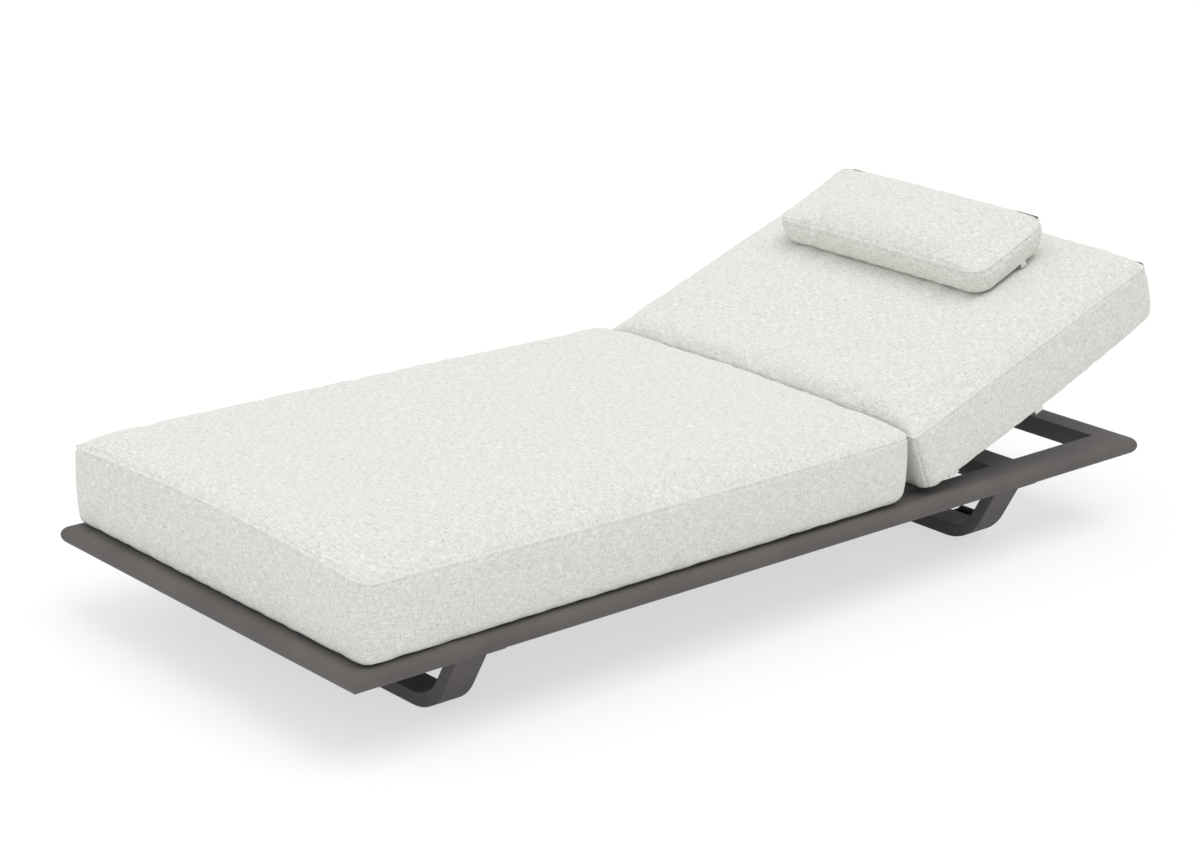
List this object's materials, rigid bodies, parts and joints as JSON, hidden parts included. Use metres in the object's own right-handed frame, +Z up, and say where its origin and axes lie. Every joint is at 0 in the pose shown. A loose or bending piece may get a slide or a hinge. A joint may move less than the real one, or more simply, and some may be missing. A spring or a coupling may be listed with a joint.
{
  "type": "spa relaxation lounger",
  "caption": "Low spa lounger: a flat metal frame on bent sled legs, a backrest that a folding stay props at several tilts, box cushions and a head pillow.",
  "frame": {"origin": "on the floor, under the middle of the whole lounger with its backrest at rest", "axes": "+X from the foot end to the head end, +Y across to the far side, +Z up"},
  "size_m": [2.0418, 0.968, 0.6269],
  "materials": {
    "powder_coat": "satin",
    "cushion_fabric": "matte",
    "black_plastic": "matte",
    "roller_rubber": "matte",
    "steel": "satin"
  },
  "bodies": {
    "base": {"near_side_rail": "powder_coat", "far_side_rail": "powder_coat", "foot_rail": "powder_coat", "head_rail": "powder_coat", "front_cross_member": "powder_coat", "hinge_cross_member": "powder_coat", "rear_cross_member": "powder_coat", "seat_slat_1": "powder_coat", "seat_slat_2": "powder_coat", "seat_slat_3": "powder_coat", "seat_slat_4": "powder_coat", "seat_slat_5": "powder_coat", "seat_slat_6": "powder_coat", "seat_slat_7": "powder_coat", "seat_slat_8": "powder_coat", "seat_slat_9": "powder_coat", "front_leg": "powder_coat", "rear_leg": "powder_coat", "front_leg_plates": "powder_coat", "rear_leg_plates": "powder_coat", "leg_screws": "steel", "front_near_glide": "black_plastic", "front_far_glide": "black_plastic", "rear_near_glide": "black_plastic", "rear_far_glide": "black_plastic", "near_roller_bracket": "black_plastic", "far_roller_bracket": "black_plastic", "near_roller_axle": "steel", "far_roller_axle": "steel", "roller_screws": "steel", "near_hinge_bracket": "powder_coat", "far_hinge_bracket": "powder_coat", "hinge_pins": "steel", "hinge_screws": "steel", "near_rack": "powder_coat", "far_rack": "powder_coat", "seat_cushion": "cushion_fabric"},
    "backrest": {"near_back_tube": "powder_coat", "far_back_tube": "powder_coat", "back_lower_tube": "powder_coat", "back_upper_tube": "powder_coat", "back_slat_1": "powder_coat", "back_slat_2": "powder_coat", "back_slat_3": "powder_coat", "back_slat_4": "powder_coat", "back_slat_5": "powder_coat", "tube_plugs": "black_plastic", "tube_caps": "black_plastic", "near_stay_bracket": "powder_coat", "far_stay_bracket": "powder_coat", "stay_pins": "steel"},
    "stay": {"near_stay_arm": "powder_coat", "far_stay_arm": "powder_coat", "stay_crossbar": "powder_coat"},
    "back_pad": {"back_cushion": "cushion_fabric"},
    "pillow": {"head_pillow": "cushion_fabric"},
    "near_wheel": {"near_roller": "roller_rubber"},
    "far_wheel": {"far_roller": "roller_rubber"}
  },
  "joints": [
    {"name": "backrest_hinge", "type": "hinge", "parent": "base", "child": "backrest", "pos_m": [0.43308, 0, 0.1955], "axis": [0, -1, 0], "range_deg": [-20.5, 39.5]},
    {"name": "stay_hinge", "type": "hinge", "parent": "backrest", "child": "stay", "pos_m": [0.5127, 0, 0.22527], "axis": [0, -1, 0], "range_deg": [-79, 41]},
    {"name": "back_cushion_slide", "type": "slide", "parent": "backrest", "child": "back_pad", "axis": [0.9367, 0, 0.3502], "range_m": [-0.0492, 0.0948]},
    {"name": "pillow_slide", "type": "slide", "parent": "back_pad", "child": "pillow", "axis": [0.9367, 0, 0.3502], "range_m": [-0.12, 0.03]},
    {"name": "near_roller_spin", "type": "hinge", "parent": "base", "child": "near_wheel", "pos_m": [0.69508, -0.27668, 0.018], "axis": [0, 1, 0], "continuous": true},
    {"name": "far_roller_spin", "type": "hinge", "parent": "base", "child": "far_wheel", "pos_m": [0.69508, 0.27668, 0.018], "axis": [0, 1, 0], "continuous": true}
  ],
  "couplings": [
    {"joint": "stay_hinge", "follows": "backrest_hinge", "ratio": -2},
    {"joint": "back_cushion_slide", "follows": "backrest_hinge", "m_per_rad": 0.13751}
  ]
}
